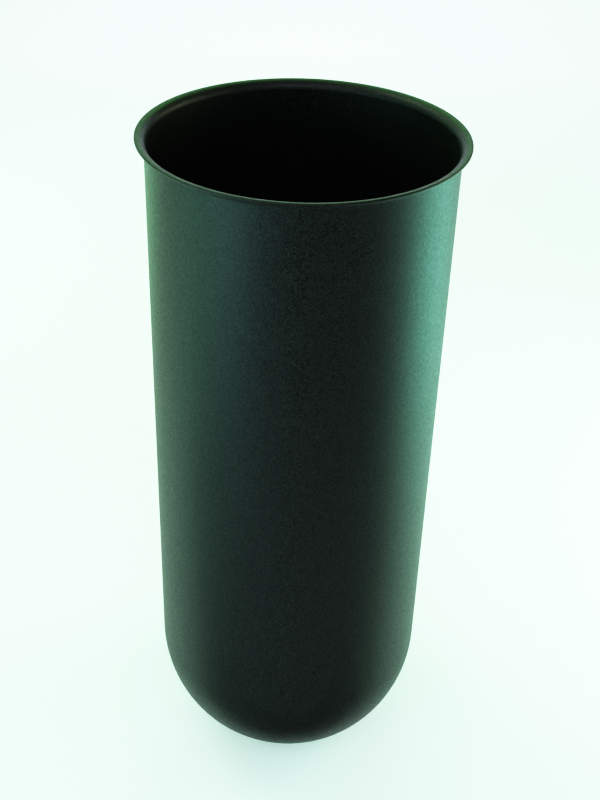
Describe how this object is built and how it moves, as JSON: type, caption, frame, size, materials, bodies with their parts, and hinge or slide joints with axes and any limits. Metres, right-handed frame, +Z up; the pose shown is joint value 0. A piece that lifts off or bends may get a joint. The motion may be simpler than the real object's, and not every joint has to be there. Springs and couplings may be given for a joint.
{
  "type": "ash bin",
  "caption": "Tall round ash bin in black coated steel, open at the top with a flared lip, with a hemispherical bottom on a flat ballasted rubber foot.",
  "frame": {"origin": "centre of the rubber foot's underside, on the ground", "axes": "+Z up along the vessel's axis, towards the open mouth; X and Y level, the vessel being round"},
  "size_m": [0.2643, 0.2644, 0.63],
  "materials": {
    "black_powder_coat": "fine-textured satin black powder coat",
    "painted_iron": "sand cast, matt black primer",
    "black_rubber": "matt moulded rubber",
    "stainless_steel": "plain stainless steel"
  },
  "bodies": {
    "root": {"body_tube": "black_powder_coat", "dome_base": "black_powder_coat", "ballast_weight": "painted_iron", "foot_pad": "black_rubber", "base_screw": "stainless_steel", "screw_washer": "stainless_steel", "screw_seal": "black_rubber", "nut_washer": "stainless_steel", "lock_nut": "stainless_steel"}
  },
  "joints": []
}
